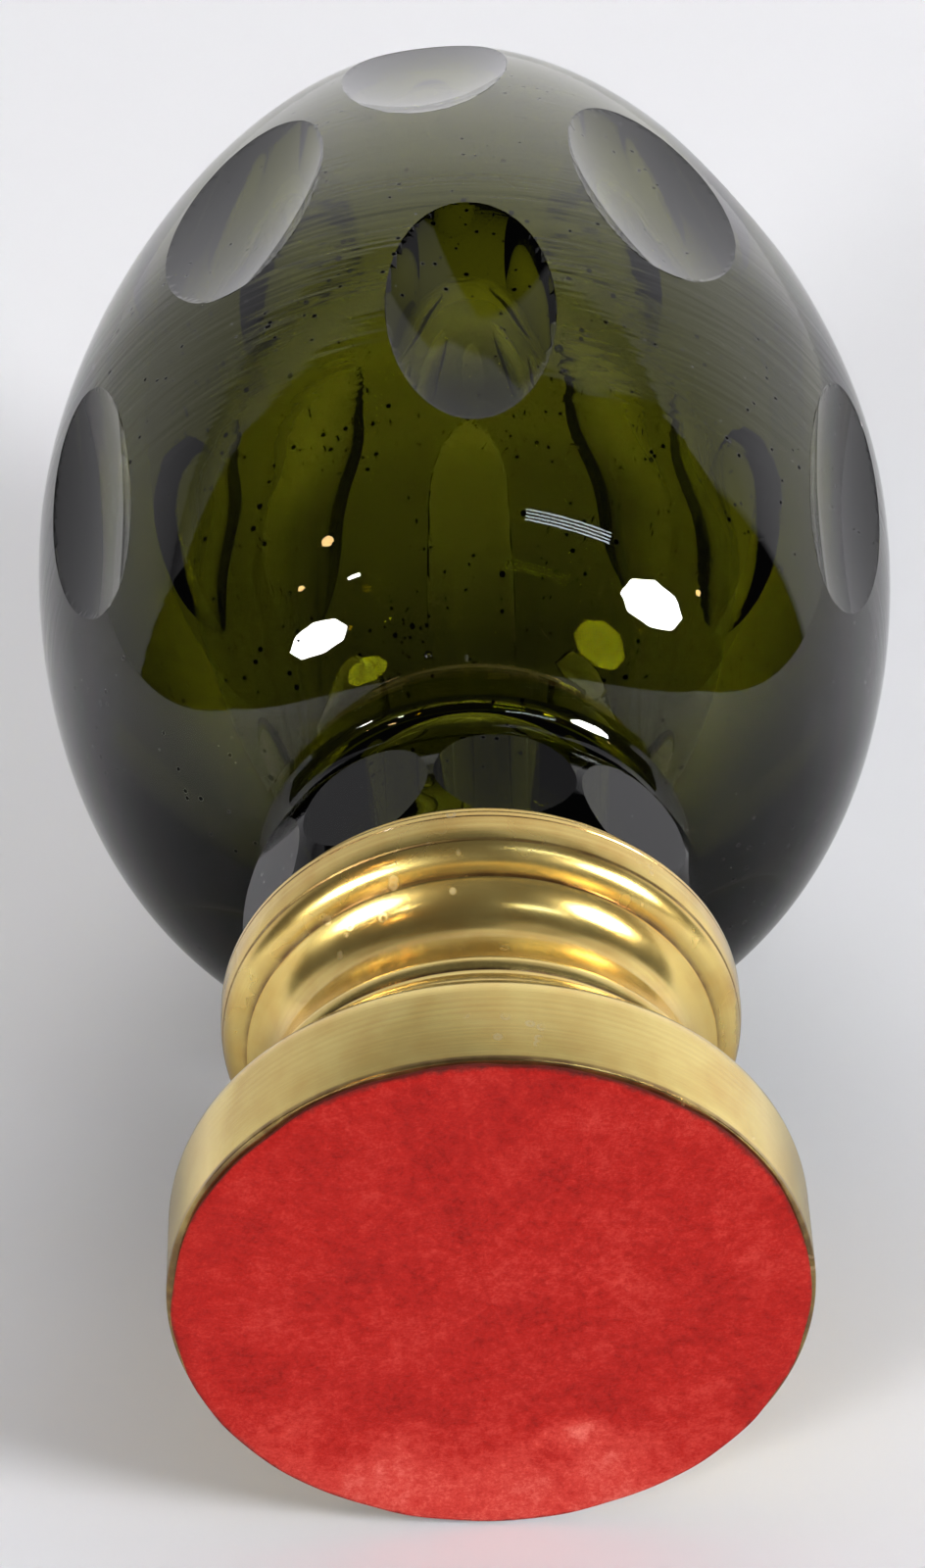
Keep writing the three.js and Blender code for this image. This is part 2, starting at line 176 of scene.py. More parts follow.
def blown_ripple(radius, height, angles):
    """How far the inner wall stands off a true circle, in millimetres."""
    if (radius, height) not in inner_points or height < HOLLOW_FLOOR + 1:
        return 0.0
    fade = min(1.0, radius / 12)
    swell = 0.16 * np.sin(3 * angles + 0.03 * height)
    swell = swell + 0.08 * np.sin(5 * angles - 0.05 * height + 1)
    rings = 0.02 * np.sin(0.55 * height + 0.8 * np.sin(2 * angles))
    return fade * (swell + rings)


inner_points = set(inside)
glass = turn("cut_glass_cone", inside + foot_of_glass + outside, GLASS_SIDES, blown_ripple)
print("blown glass:", len(glass.data.polygons), "faces")

# %% [markdown]
# Each oval was ground by holding the glass against the rim of a rounded stone wheel. The
# tool here is that rim: a shallow arc across, swept along the stroke, which starts and
# ends on the surface and is deepest half way. Six copies make a row, three rows make the
# pattern, and one boolean takes them all away at once. The spacing was judged by eye, so
# the turns are up to three degrees off even ones.

# %% The shape of a stroke
WHEEL_EDGE = 23.0  # radius of the rim, across the stroke
OVERRUN = 0.12  # how far a stroke goes on past the skin at either end
CLEAR_OF_GLASS = 4.0
CUTS_PER_ROW = 6
CUT_ROWS = (  # middle, length and width as shares, then each cut's turn in degrees from the front
    (0.257, 0.228, 0.374, (2, 65, 124, 182, 241, 299)),
    (0.473, 0.291, 0.42, (29, 90, 150, 210, 270, 330)),
    (0.702, 0.326, 0.5, (-4, 57, 117, 177, 237, 297)),
)


def body_at(share):
    """The body's outline at a share of its height."""
    height = CREASE + share * (TIP - CREASE)
    points = curve(*lower_body, 400) + curve(*upper_body, 400)
    heights = [p[1] for p in points]
    return np.array([np.interp(height, heights, [p[0] for p in points]), height])


def wheel_stroke(at, length, width, across=40, along=56):
    middle, start, end = body_at(at), body_at(at - length / 2), body_at(at + length / 2)
    half_width = width * math.pi * middle[0] / CUTS_PER_ROW
    depth = half_width**2 / 2 * (1 / middle[0] + 1 / WHEEL_EDGE)
    up = (end - start) / np.linalg.norm(end - start)
    deepest = middle + depth * np.array([-up[1], up[0]])
    handle = 2 * deepest - (start + end) / 2
    reach = math.asin(min(0.9, 1.35 * half_width / WHEEL_EDGE))
    rim = [
        (WHEEL_EDGE * math.sin(s), WHEEL_EDGE * (1 - math.cos(s)))
        for s in np.linspace(-reach, reach, across + 1)
    ]
    back = 2 * rim[-1][1] + CLEAR_OF_GLASS
    rim += [(rim[-1][0], back), (rim[0][0], back)]
    sections = []
    for t in np.linspace(-OVERRUN, 1 + OVERRUN, along + 1):
        point = (1 - t) ** 2 * start + 2 * t * (1 - t) * handle + t**2 * end
        heading = 2 * (1 - t) * (handle - start) + 2 * t * (end - handle)
        heading = heading / np.linalg.norm(heading)
        outward = np.array([heading[1], -heading[0]])
        sections.append(
            [(point[0] + v * outward[0], u, point[1] + v * outward[1]) for u, v in rim]
        )
    return np.array(sections)


for at, length, width, turns in CUT_ROWS:
    print("row at height", round(body_at(at)[1], 1), "with cuts turned by", turns)

# %% [markdown]
# A stroke becomes a closed bar: its sections are joined by faces and both ends are capped.
# The same bar is turned about the axis for every cut of its row, and all eighteen bars go
# into one tool.

# %% The grinding wheel's strokes
def swept(sections, degrees):
    """Corners and faces of a closed bar through the sections, turned about the axis."""
    count, around = sections.shape[:2]
    c, s = math.cos(math.radians(degrees)), math.sin(math.radians(degrees))
    flat = sections.reshape(-1, 3) * MM
    x, y, z = flat.T
    corners = np.stack([c * x - s * y, s * x + c * y, z], 1)
    faces = []
    for here in range(0, (count - 1) * around, around):
        for k in range(around):
            n = (k + 1) % around
            faces.append([here + k, here + n, here + around + n, here + around + k])
    faces.append(list(range(around))[::-1])
    faces.append([(count - 1) * around + k for k in range(around)])
    return corners, faces


cut_corners, cut_faces = [], []
for at, length, width, turns in CUT_ROWS:
    stroke = wheel_stroke(at, length, width)
    for degrees in turns:
        corners, faces = swept(stroke, degrees - 90)
        cut_faces += [[len(cut_corners) + v for v in face] for face in faces]
        cut_corners += list(corners)
strokes = as_piece("wheel_strokes", cut_corners, cut_faces)
print("wheel strokes:", len(CUT_ROWS) * CUTS_PER_ROW, "with", len(cut_faces), "faces")

# %% [markdown]
# The collar is ground flat ten times round. Ten flats that meet on the swell of the neck
# are the same as a ten-sided hole, so the tool is a ring with such a hole in it. The hole
# widens upwards by five degrees, because the flats lean. The neck swells, so each flat
# leaves an oval, as it does on the real one.

# %% Grind the cuts and the collar
FACETS = 10
FACET_TURN = 8.1  # degrees from the front to the middle of the first facet
FACET_LEAN = math.tan(math.radians(5))
RING_BASE, RING_TOP, RING_RIM = 43.6, 61.8, 36.0
SHARPEST_BEND_OF_GLASS = 9  # degrees; anything sharper is the edge of a cut
MID_COLLAR = 51.0


def ring_corner(height):
    """The radius of the hole's corners, wider towards the top."""
    return NECK_SWELL + FACET_LEAN * (height - MID_COLLAR) / math.cos(math.pi / FACETS)


ring_outline = [
    (ring_corner(RING_BASE), RING_BASE),
    (RING_RIM, RING_BASE),
    (RING_RIM, RING_TOP),
    (ring_corner(RING_TOP), RING_TOP),
    (ring_corner(RING_BASE), RING_BASE),
]
collar_ring = turn("collar_ring", ring_outline, FACETS)
first_corner = math.radians(FACET_TURN - 90 + 180 / FACETS)
collar_ring.data.transform(Matrix.Rotation(first_corner, 4, "Z"))


def cut_away(piece, tool):
    bool_cut = piece.modifiers.new("cut", "BOOLEAN")
    bool_cut.operation, bool_cut.solver, bool_cut.object = "DIFFERENCE", "MANIFOLD", tool
    graph = bpy.context.evaluated_depsgraph_get()
    mesh = bpy.data.meshes.new_from_object(piece.evaluated_get(graph))
    piece.modifiers.clear()
    piece.data = mesh
    bpy.data.objects.remove(tool)


def face_out(piece):
    work = bmesh.new()
    work.from_mesh(piece.data)
    bmesh.ops.recalc_face_normals(work, faces=work.faces)
    work.to_mesh(piece.data)
    work.free()


face_out(strokes)
cut_away(glass, strokes)
cut_away(glass, collar_ring)
crisp(glass, SHARPEST_BEND_OF_GLASS)
print("ground glass:", len(glass.data.polygons), "faces")

# %% [markdown]
# The blown skin keeps faint rings from the polishing pads, and the cuts, which were
# polished one by one, don't. The finish has to know which is which, so every vertex that
# still lies on the blown outline is marked with 1 and every other one with 0.

# %% Mark the blown skin
ON_THE_SKIN = 0.02


def mark_blown_skin(piece):
    mesh = piece.data
    places = np.empty(3 * len(mesh.vertices), np.float32)
    mesh.vertices.foreach_get("co", places)
    places = places.reshape(-1, 3) / MM
    skin = np.array(curve(*lower_body, 400) + curve(*upper_body, 400))
    off = np.hypot(places[:, 0], places[:, 1]) - np.interp(places[:, 2], skin[:, 1], skin[:, 0])
    on_skin = ((np.abs(off) < ON_THE_SKIN) & (places[:, 2] > CREASE)).astype(np.float32)
    mesh.attributes.new("blown_skin", "FLOAT", "POINT").data.foreach_set("value", on_skin)
    print("on the blown skin:", int(on_skin.sum()), "of", len(on_skin), "points")


mark_blown_skin(glass)

# %% [markdown]
# Seeds, the tiny bubbles that old glass is full of, hang in the wall, most of them close
# under the skin. A few are as large as a pinhead, and those are put where the real glass
# shows them. The places of the others are drawn with a seeded random number, and one is
# only used if the whole bubble lies in glass and not in a cut.

# %% Places for the seeds
LARGE_SEEDS = (  # degrees from the front, height and radius in mm
    (13.6, 95.9, 0.50),
    (53.6, 82.4, 0.42),
    (-8.5, 66.6, 0.42),
    (-14.2, 114.1, 0.30),
    (-14.9, 111.4, 0.34),
    (-13.5, 108.7, 0.28),
    (-12.3, 110.5, 0.22),
    (-16.3, 108.0, 0.26),
    (7.1, 128.3, 0.32),
    (16.6, 98.9, 0.28),
    (33.0, 104.0, 0.26),
    (40.0, 115.7, 0.24),
)
LARGE_DEPTH, LARGE_STRETCH = 1.6, 1.15  # middle under the skin in radii, and how long it is
SMALLEST, SIZE_RANGE = 0.13, 0.2
SHALLOWEST, DEPTH_RANGE = 0.3, 3.5
SEED_COUNT, DRAW = 450, 7


def under_skin(degrees, height, depth):
    radius = body_at((height - CREASE) / (TIP - CREASE))[0] - depth
    angle = math.radians(degrees - 90)
    return Vector((radius * math.cos(angle), radius * math.sin(angle), height)) * MM


def seed_places(piece, count, draw):
    """Middle, radius, stretch and fineness of each bubble."""
    rng = np.random.default_rng(draw)
    work = bmesh.new()
    work.from_mesh(piece.data)
    wall = BVHTree.FromBMesh(work)
    work.free()

    def in_glass(place, reach):
        near, facing, _, gap = wall.find_nearest(place)
        return gap > reach and (place - near).dot(facing) < 0

    seeds = [
        (under_skin(turn_by, height, LARGE_DEPTH * size), size, LARGE_STRETCH, 3)
        for turn_by, height, size in LARGE_SEEDS
    ]
    while len(seeds) < count:
        size, stretch = SMALLEST + SIZE_RANGE * rng.random() ** 2, rng.uniform(1.0, 1.5)
        depth = SHALLOWEST + DEPTH_RANGE * rng.random() ** 2
        place = under_skin(rng.uniform(0, 360), rng.uniform(CREASE + 3, TIP - 12), depth)
        room_for_it = 1.3 * size * stretch * MM
        if in_glass(place, room_for_it):
            seeds.append((place, size, stretch, 2))
    return seeds


seeds = seed_places(glass, SEED_COUNT, DRAW)
print("seeds:", len(seeds), "of which", len(LARGE_SEEDS), "are large")

# %% [markdown]
# A bubble in glass is a surface that faces into its own air, so each seed is a small ball
# turned inside out and joined to the glass mesh. No boolean is needed for a ball that lies
# wholly in the glass. Only the drawn ones were tested for that: of the large ones, which get
# finer balls, the one by the crease stands out of the glass by 0.2 mm.

# %% Blow the seeds
def small_ball(subdivisions):
    ball = bmesh.new()
    bmesh.ops.create_icosphere(ball, subdivisions=subdivisions, radius=1)
    shape = np.array([v.co[:] for v in ball.verts])
    turned_in = [[v.index for v in f.verts][::-1] for f in ball.faces]
    ball.free()
    return shape, turned_in


def add_seeds(piece, seeds):
    corners, faces = [], []
    balls = {2: small_ball(2), 3: small_ball(3)}
    for place, size, stretch, fine in seeds:
        shape, turned_in = balls[fine]
        faces += [[len(corners) + v for v in face] for face in turned_in]
        corners += list(shape * size * MM * (1, 1, stretch) + np.array(place))
    bubbles = as_piece("seeds", corners, faces)
    work = bmesh.new()
    work.from_mesh(piece.data)
    before = len(work.faces)
    work.from_mesh(bubbles.data)
    work.faces.ensure_lookup_table()
    for face in work.faces[before:]:
        face.smooth = True
    work.to_mesh(piece.data)
    work.free()
    bpy.data.objects.remove(bubbles)


add_seeds(glass, seeds)
print("the glass now has", len(glass.data.polygons), "faces")
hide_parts("glass_body")
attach(glass, "root")

# %% [markdown]
# The mount is three turned pieces. The cup has a rounded lip, a fine line under it, a
# plain band and a rounded underside. The stem is a deep cove between two small steps. The
# drum has a rolled step on top and a softly rounded upper edge.

# %% Outlines of the brass
LIP, CUP_BASE, STEM_BASE, DRUM_BASE, STEP = 44.5, 35.6, 21.9, 0.9, 13.5

cup = [(4.4, CUP_BASE), (23.4, CUP_BASE), (23.95, 35.85)]
cup += bend(cup[-1], (25.75, 36.25), (26.13, 37.85), 14)
cup += [(26.02, 37.95), (26.04, 38.05), (26.2, 38.15)]
cup += bend(cup[-1], (26.4, 38.9), (26.4, 39.9), 8)
cup += [(26.4, 41.2), (26.34, 41.27), (26.4, 41.34), (26.4, 41.8)]
cup += bend(cup[-1], (26.35, 42.3), (25.6, 42.55), 5)
cup += [(24.62, 42.62), (24.55, 42.78), (24.6, 42.95)]
cup += bend(cup[-1], (24.9, 43.0), (24.9, 43.3), 4)
cup += [(24.9, 44.15)]
cup += bend(cup[-1], (24.88, LIP), (24.5, LIP), 5)
cup += [(22.6, LIP), (22.6, 38.3), (4.4, 38.3), (4.4, CUP_BASE)]

stem = [(15.6, STEM_BASE), (23.2, STEM_BASE)]
stem += bend(stem[-1], (24.1, 23.35), (22.9, 24.5), 14)
stem += [(22.5, 24.7), (22.4, 24.85)]
stem += bend(stem[-1], (21.0, 27.4), (21.0, 30.4), 18)
stem += bend(stem[-1], (21.3, 33.7), (23.7, 35.0), 18)
stem += [(23.75, 35.2), (23.6, 35.45), (23.2, CUP_BASE), (4.4, CUP_BASE), (4.4, 31.6)]
stem += [(15.6, 29.6), (15.6, STEM_BASE)]

drum = [(28.0, DRUM_BASE), (30.7, DRUM_BASE)]
drum += bend(drum[-1], (31.0, DRUM_BASE), (31.0, 1.2), 4)
drum += [(31.0, 10.3)]
drum += bend(drum[-1], (31.0, STEP), (27.8, STEP), 18)
drum += [(24.9, 14.5)]
drum += bend(drum[-1], (26.6, 17.0), (24.8, 19.8), 18)
drum += [(24.2, 20.1)]
drum += bend(drum[-1], (23.65, 20.3), (23.6, 21.6), 8)
drum += [(23.3, STEM_BASE), (15.3, STEM_BASE), (15.3, 23.4), (4.4, 23.4), (4.4, 18.5)]
drum += [(20.5, 18.5), (20.5, 10.3), (25.5, 10.3), (25.5, 3.9), (28.0, 3.9), (28.0, DRUM_BASE)]
print("drum from", DRUM_BASE, "stem from", STEM_BASE, "and cup from", CUP_BASE, "to", LIP, "mm")

# %% [markdown]
# Each outline is turned on the lathe helper. An edge that turns by more than 22 degrees is
# a real corner of the turning and stays crisp, and the rest is shaded smooth. The piece
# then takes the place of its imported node.

# %% Turn the brass
def turned_brass(name, node, outline, sides=288):
    piece = turn(name, outline, sides)
    crisp(piece, 22)
    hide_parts(node)
    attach(piece, "root")
    print(name, len(piece.data.polygons), "faces")
    return piece


brass_cup = turned_brass("brass_cup", "collar_cup", cup)
brass_stem = turned_brass("brass_stem", "cove_stem", stem)
brass_drum = turned_brass("brass_drum", "foot_drum", drum)

# %% [markdown]
# The felt is a disc cut by hand from a sheet, so its edge wanders a little and its face is
# not quite flat. It is modelled as a thin closed sheet with a fine grid, pressed against
# the drum above and fuzzy below. It was cut from a square of 61.4 mm.

# %% Cut the felt
FELT, FELT_TOP, DRUM_RIM = 30.55, 0.9, 30.7
WANDER, WAVES, LIFTED_EDGE = 0.11, 24, 0.2


def cut_felt(rings=46, sides=240):
    corners, faces = [], []
    rng = np.random.default_rng(3)
    waves = rng.uniform(-1, 1, (WAVES, 2)) * (WANDER / np.sqrt(1 + np.arange(WAVES)))[:, None]
    angles = np.arange(sides) * 2 * math.pi / sides
    edge = sum(a * np.sin(k * angles) + b * np.cos(k * angles) for k, (a, b) in enumerate(waves, 2))
    edge = np.clip(FELT + edge, None, DRUM_RIM)
    for side_of in ("under", "top"):
        corners.append((0, 0, 0.2 if side_of == "under" else FELT_TOP))
        for i in range(1, rings + 1):
            share = i / rings
            for k, a in enumerate(angles):
                r = share * edge[k] * (1 if side_of == "under" or i < rings else 0.996)
                x, y = r * math.cos(a), r * math.sin(a)
                swell = 0.09 + 0.05 * math.sin(0.31 * x + 1.7 * math.sin(0.21 * y))
                swell += 0.04 * math.sin(0.47 * y + 0.3 * x)
                swell += LIFTED_EDGE * max(0.0, share - 0.98) / 0.02
                corners.append((x, y, max(0.02, swell) if side_of == "under" else FELT_TOP))
    layer = 1 + rings * sides
    for base, flip in ((0, True), (layer, False)):
        for k in range(sides):
            n = (k + 1) % sides
            tri = [base, base + 1 + k, base + 1 + n]
            faces.append(tri[::-1] if flip else tri)
            for i in range(rings - 1):
                a = base + 1 + i * sides
                quad = [a + k, a + sides + k, a + sides + n, a + n]
                faces.append(quad[::-1] if flip else quad)
    outer = 1 + (rings - 1) * sides
    for k in range(sides):
        n = (k + 1) % sides
        faces.append([outer + k, outer + n, layer + outer + n, layer + outer + k])
    return as_piece("felt_disc", np.array(corners) * MM, faces)


felt = cut_felt()
crisp(felt, 60)
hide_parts("felt_pad")
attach(felt, "root")
print("felt:", len(felt.data.polygons), "faces")

# %% [markdown]
# Now the finishes. A short helper starts each material with its Principled shader, another
# fills the sockets of a node, and a few more add what most finishes need: a place and a
# noise that are measured in millimetres of the real object, and sums.

# %% Places, noise and sums
def finish_named(name):
    made = bpy.data.materials.new(name)
    made.use_nodes = True
    tree = made.node_tree
    return made, tree, tree.nodes["Principled BSDF"]


def feed(tree, socket, value):
    """An output is linked, a number is set, and a colour is set with its alpha."""
    if isinstance(value, bpy.types.NodeSocket):
        tree.links.new(value, socket)
    elif isinstance(value, tuple):
        socket.default_value = (*value, 1)
    elif value is not None:
        socket.default_value = value


def feed_all(tree, node, values):
    for name, value in values.items():
        feed(tree, node.inputs[name], value)


def place_of(tree):
    """Object coordinates in millimetres."""
    coords = tree.nodes.new("ShaderNodeTexCoord")
    to_mm = tree.nodes.new("ShaderNodeVectorMath")
    to_mm.operation = "SCALE"
    to_mm.inputs["Scale"].default_value = 1000
    tree.links.new(coords.outputs["Object"], to_mm.inputs[0])
    return to_mm.outputs[0]


def noise_of(tree, where, size, detail=4.0, rough=0.55):
    """Noise whose features are about this many millimetres across."""
    made = tree.nodes.new("ShaderNodeTexNoise")
    feed_all(tree, made, {"Vector": where, "Scale": 1 / size, "Detail": detail, "Roughness": rough})
    return made.outputs["Fac"]


def maths(tree, operation, *values):
    made = tree.nodes.new("ShaderNodeMath")
    made.operation = operation
    for socket, value in zip(made.inputs, values):
        feed(tree, socket, value)
    return made.outputs[0]


def times(tree, first, second):
    return maths(tree, "MULTIPLY", first, second)


def plus(tree, first, second):
    return maths(tree, "ADD", first, second)


def less(tree, first, second):
    return maths(tree, "SUBTRACT", first, second)


def joined(tree, x, y, z=0.0):
    made = tree.nodes.new("ShaderNodeCombineXYZ")
    for socket, value in zip(made.inputs, (x, y, z)):
        feed(tree, socket, value)
    return made.outputs[0]


def axes_of(tree, where):
    apart = tree.nodes.new("ShaderNodeSeparateXYZ")
    tree.links.new(where, apart.inputs[0])
    return [apart.outputs[k] for k in "XYZ"]


def distance_to_axis(tree, x, y):
    return maths(tree, "SQRT", maths(tree, "MULTIPLY_ADD", x, x, times(tree, y, y)))


# %% [markdown]
# The second half of the helpers turns a noise into something seen: spread stretches it
# between two limits, mixed and colours make colours of it, and bumped makes it relief.

# %% Colours and relief
def mixed(tree, share, first, second):
    made = tree.nodes.new("ShaderNodeMix")
    made.data_type = "RGBA"
    feed_all(tree, made, {"Factor": share, "A": first, "B": second})
    return made.outputs["Result"]


def spread(tree, value, low, high, to_low, to_high):
    made = tree.nodes.new("ShaderNodeMapRange")
    feed_all(tree, made, {"Value": value, "From Min": low, "From Max": high})
    feed_all(tree, made, {"To Min": to_low, "To Max": to_high})
    return made.outputs["Result"]


def colours(tree, value, *stops):
    made = tree.nodes.new("ShaderNodeValToRGB")
    ramp = made.color_ramp
    ramp.elements[0].position, ramp.elements[0].color = stops[0][0], (*stops[0][1], 1)
    ramp.elements[1].position, ramp.elements[1].color = stops[-1][0], (*stops[-1][1], 1)
    for at, colour in stops[1:-1]:
        ramp.elements.new(at).color = (*colour, 1)
    tree.links.new(value, made.inputs["Fac"])
    return made.outputs["Color"]


def bumped(tree, shader, height, depth_mm, after=None):
    """Relief of this depth, on top of the relief that came before it, if any."""
    made = tree.nodes.new("ShaderNodeBump")
    feed_all(tree, made, {"Height": height, "Distance": depth_mm * MM, "Normal": after})
    tree.links.new(made.outputs["Normal"], shader.inputs["Normal"])
    return made.outputs["Normal"]


# %% [markdown]
# Old glass that was handled for years has two kinds of small marks. Hair scratches are
# thin wandering lines, and the contour of a soft noise is just that. Pits are seeds that
# broke open at the surface and filled with dirt: a cell pattern gives a point in each
# cell, and wherever such a point happens to lie close to the surface, a speck shows.

# %% Scratches and pits
def hair_scratches(tree, where, size, width):
    contour = maths(tree, "ABSOLUTE", less(tree, noise_of(tree, where, size, 0.0), 0.5))
    line = spread(tree, contour, 0.0, width, 1.0, 0.0)
    broken_up = spread(tree, noise_of(tree, where, 5.0, 2.0), 0.58, 0.62, 0.0, 1.0)
    return times(tree, line, broken_up)


def cell_distance(tree, where, size):
    """Distance from the middle of the nearest cell, as a share of the cells' size."""
    cells = tree.nodes.new("ShaderNodeTexVoronoi")
    feed_all(tree, cells, {"Vector": where, "Scale": 1 / size})
    return cells.outputs["Distance"]


def dark_pits(tree, where, size=2.0, widest=0.145):
    clusters = spread(tree, noise_of(tree, where, 13.0, 2.0), 0.44, 0.60, 0.15, 1.0)
    outside = less(tree, cell_distance(tree, where, size), times(tree, clusters, widest))
    return spread(tree, outside, -0.015, 0.015, 1.0, 0.0)


# %% [markdown]
# The glass is coloured through its body, so its darkness depends on how far light travels
# in it: pale at the lips of the cuts, almost black at the neck. That is a clear shader on
# the surface and an absorbing volume inside. The blown skin has soft waves that run round
# it, which tear the edge of a reflection into streaks, and the faint rings of the
# polishing pad. A pit lets no light through and mirrors none, so it is black and metallic.

# %% Green glass
CLEAR, BLACK = (1.0, 1.0, 1.0), (0.0, 0.0, 0.0)
GLASS_TINT, TINT_DENSITY = (0.60, 0.605, 0.0), 200  # of the absorption, density per metre
PAD_RING = 0.9  # mm from one ring of the polishing pad to the next


def green_glass():
    made, tree, shader = finish_named("dark_green_glass")
    where = place_of(tree)
    x, y, z = axes_of(tree, where)
    skin = tree.nodes.new("ShaderNodeAttribute")
    skin.attribute_name = "blown_skin"
    skin = skin.outputs["Fac"]
    scratches = hair_scratches(tree, where, 26.0, 0.0035)
    scuffs = spread(tree, noise_of(tree, where, 4.0, 3, 0.6), 0.55, 0.8, 0.0, 0.006)
    rough = maths(tree, "MULTIPLY_ADD", scratches, 0.15, times(tree, scuffs, skin))
    feed_all(tree, shader, {"Transmission Weight": 1, "IOR": 1.53, "Roughness": rough})
    pits = dark_pits(tree, where)
    feed_all(tree, shader, {"Base Color": mixed(tree, pits, CLEAR, BLACK), "Metallic": pits})
    round_it = joined(tree, times(tree, x, 0.07), times(tree, y, 0.07), z)
    from_below, to_above = spread(tree, z, 88, 97, 0, 1), spread(tree, z, 112, 135, 1, 0.15)
    torn = maths(tree, "MINIMUM", from_below, to_above)
    streaks = times(tree, noise_of(tree, round_it, 1.3, 1.0), times(tree, skin, torn))
    swells = times(tree, noise_of(tree, where, 17.0, 0.0), skin)
    bent = maths(tree, "MULTIPLY_ADD", noise_of(tree, where, 14.0, 2.0), 2.5, z)
    ring = maths(tree, "SINE", times(tree, bent, 2 * math.pi / PAD_RING))
    patch = spread(tree, noise_of(tree, where, 22.0, 1.0), 0.5, 0.7, 0.0, 1.0)
    rings = times(tree, times(tree, ring, patch), skin)
    normal = bumped(tree, shader, swells, 0.06)
    normal = bumped(tree, shader, streaks, 0.06, normal)
    normal = bumped(tree, shader, rings, 0.0005, normal)
    bumped(tree, shader, scratches, -0.003, normal)
    inside_glass = tree.nodes.new("ShaderNodeVolumeAbsorption")
    feed_all(tree, inside_glass, {"Color": GLASS_TINT, "Density": TINT_DENSITY})
    tree.links.new(inside_glass.outputs[0], tree.nodes["Material Output"].inputs["Volume"])
    return made


def give_finish(piece, finish):
    slots = piece.data.materials
    slots.clear()
    slots.append(finish)
    print(piece.name, "is finished in", finish.name, "with", len(finish.node_tree.nodes), "nodes")


give_finish(glass, green_glass())

# %% [markdown]
# Old lacquered brass has marks too. A drop of polish that dried leaves a ring with a pale
# rim, and dirt stays in the grooves that the turner cut. The rings use the same cells as
# the pits do, at the distance of the rim. A groove is found by its height.

# %% Dried drops and grooves
def dried_drops(tree, where, size, rim_at=0.2):
    """Small rings, a few to the square centimetre, in clusters."""
    off = maths(tree, "ABSOLUTE", less(tree, cell_distance(tree, where, size), rim_at))
    rim = spread(tree, off, 0.03, 0.1, 1.0, 0.0)
    clusters = spread(tree, noise_of(tree, where, 9.0, 1.0), 0.64, 0.68, 0.0, 1.0)
    return times(tree, rim, clusters)


def grooved(tree, where, z, grooves):
    """1 in a groove, each given by its height and half its width, and 0 elsewhere."""
    in_groove = 0.0
    for height, half in grooves:
        off = maths(tree, "ABSOLUTE", less(tree, z, height))
        in_groove = maths(tree, "MAXIMUM", in_groove, spread(tree, off, half, half * 2.5, 0.9, 0.0))
    uneven = spread(tree, noise_of(tree, where, 3.0, 3), 0.3, 0.6, 0.55, 1.0)
    return times(tree, in_groove, uneven)


# %% [markdown]
# Polished brass is a metal shader with a warm colour under a thin clear coat. What makes it
# read as turned work is the direction of its marks: the tool leaves fine rings round the
# axis, so the bump is a noise of radius and height only. The drum and the step above it are
# satin, with roughness that changes round the piece, and the cove and the cup are polished.
# Tarnish makes the colour browner in soft patches.

# %% Brass
POLISHED_BRASS, SATIN_BRASS = (0.97, 0.74, 0.24), (1.0, 0.79, 0.27)
TARNISH, GROOVE_DIRT, DRIED_POLISH = (0.80, 0.50, 0.12), (0.22, 0.11, 0.04), (0.95, 0.86, 0.6)
DRUM_RADIUS = 31.0


def turned_brass_finish(name, grooves, brushed_below=0.0, smoothest=0.18):
    made, tree, shader = finish_named(name)
    feed_all(tree, shader, {"Metallic": 0.92, "Coat Weight": 0.6, "Coat Roughness": 0.06})
    where = place_of(tree)
    x, y, z = axes_of(tree, where)
    radius = distance_to_axis(tree, x, y)
    rings = noise_of(tree, joined(tree, radius, z), 0.45, 6, 0.7)
    way_round = times(tree, maths(tree, "ARCTAN2", y, x), DRUM_RADIUS)
    strokes = noise_of(tree, joined(tree, way_round, times(tree, z, 0.06)), 1.6, 3, 0.55)
    brushed = spread(tree, z, brushed_below, brushed_below + 1.5, 1, 0)
    dull = noise_of(tree, where, 6.0, 3, 0.5)
    polish = spread(tree, dull, 0.3, 0.75, smoothest, smoothest + 0.09)
    satin = spread(tree, strokes, 0.3, 0.7, 0.20, 0.27)
    rough = maths(tree, "MULTIPLY_ADD", brushed, less(tree, satin, polish), polish)
    drops = dried_drops(tree, where, 1.9)
    rough = maths(tree, "MULTIPLY_ADD", drops, 0.12, rough)
    stain = spread(tree, noise_of(tree, where, 5.0, 3, 0.5), 0.40, 0.72, 0.0, 0.6)
    streaky = spread(tree, rings, 0.35, 0.65, 0.0, 0.35)
    stain = maths(tree, "MINIMUM", plus(tree, stain, streaky), 1.0)
    stain = times(tree, stain, maths(tree, "MULTIPLY_ADD", brushed, -0.2, 1.0))
    colour = mixed(tree, brushed, POLISHED_BRASS, SATIN_BRASS)
    colour = mixed(tree, stain, colour, TARNISH)
    colour = mixed(tree, grooved(tree, where, z, grooves), colour, GROOVE_DIRT)
    colour = mixed(tree, times(tree, drops, 0.3), colour, DRIED_POLISH)
    feed_all(tree, shader, {"Base Color": colour, "Roughness": rough})
    bumped(tree, shader, rings, 0.010)
    return made


